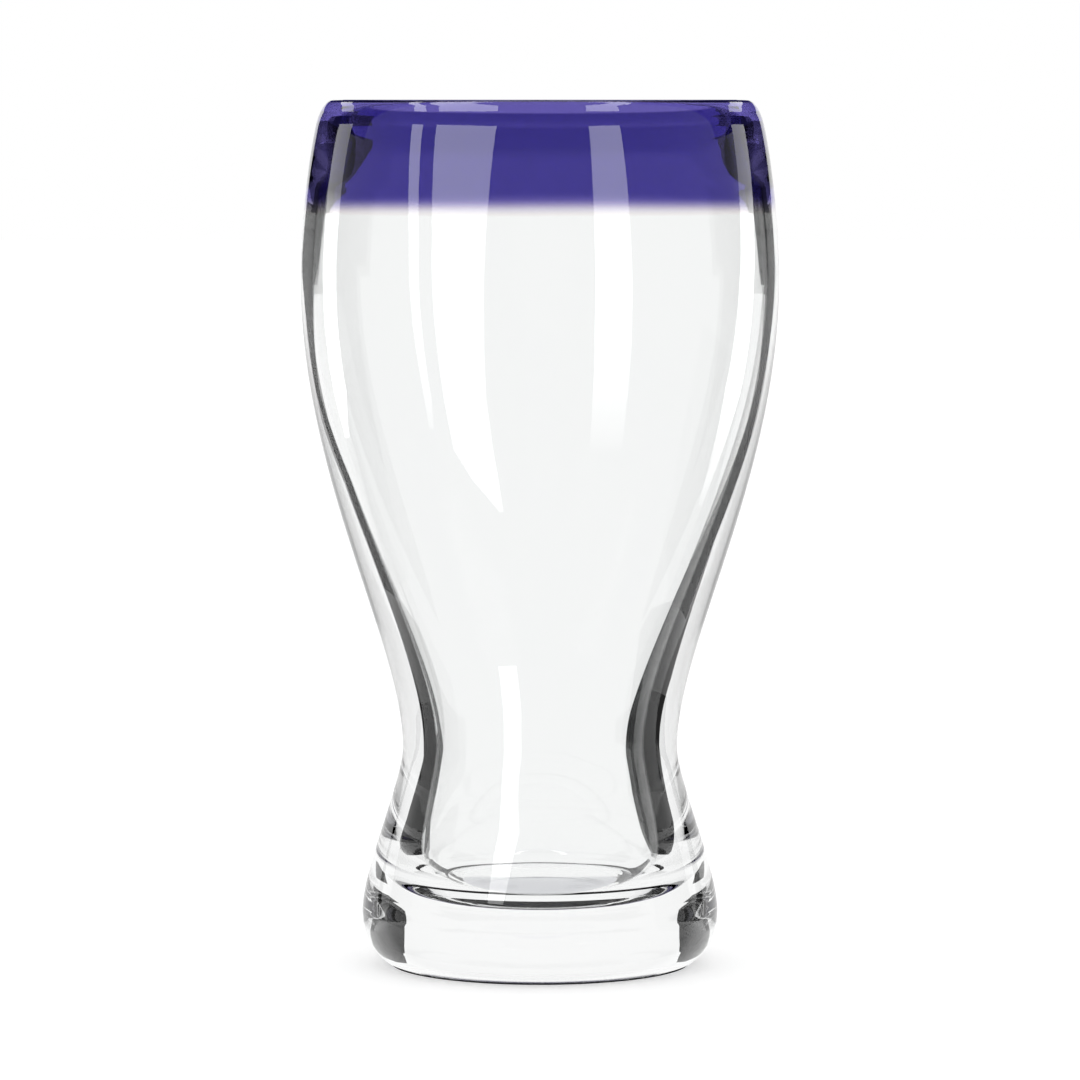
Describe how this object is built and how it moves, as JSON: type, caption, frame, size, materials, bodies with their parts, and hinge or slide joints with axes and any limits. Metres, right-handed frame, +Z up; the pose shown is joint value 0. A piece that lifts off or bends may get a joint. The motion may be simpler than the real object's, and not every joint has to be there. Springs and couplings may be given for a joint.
{
  "type": "beer glass",
  "caption": "Tall waisted clear beer glass with a solid rounded foot, a wide belly and a thick-lipped cobalt-blue rim band, for drinking.",
  "frame": {"origin": "centre of the bearing ring, in the plane that the glass stands on", "axes": "+Z up along the glass's axis of revolution, towards the mouth; X and Y are free, because the glass is round"},
  "size_m": [0.0982, 0.0982, 0.178],
  "materials": {
    "clear_glass": "clear, fire-polished",
    "cobalt_glass": "cobalt blue, fire-polished"
  },
  "bodies": {
    "root": {"foot": "clear_glass", "bowl": "clear_glass", "rim_band": "cobalt_glass"}
  },
  "joints": []
}
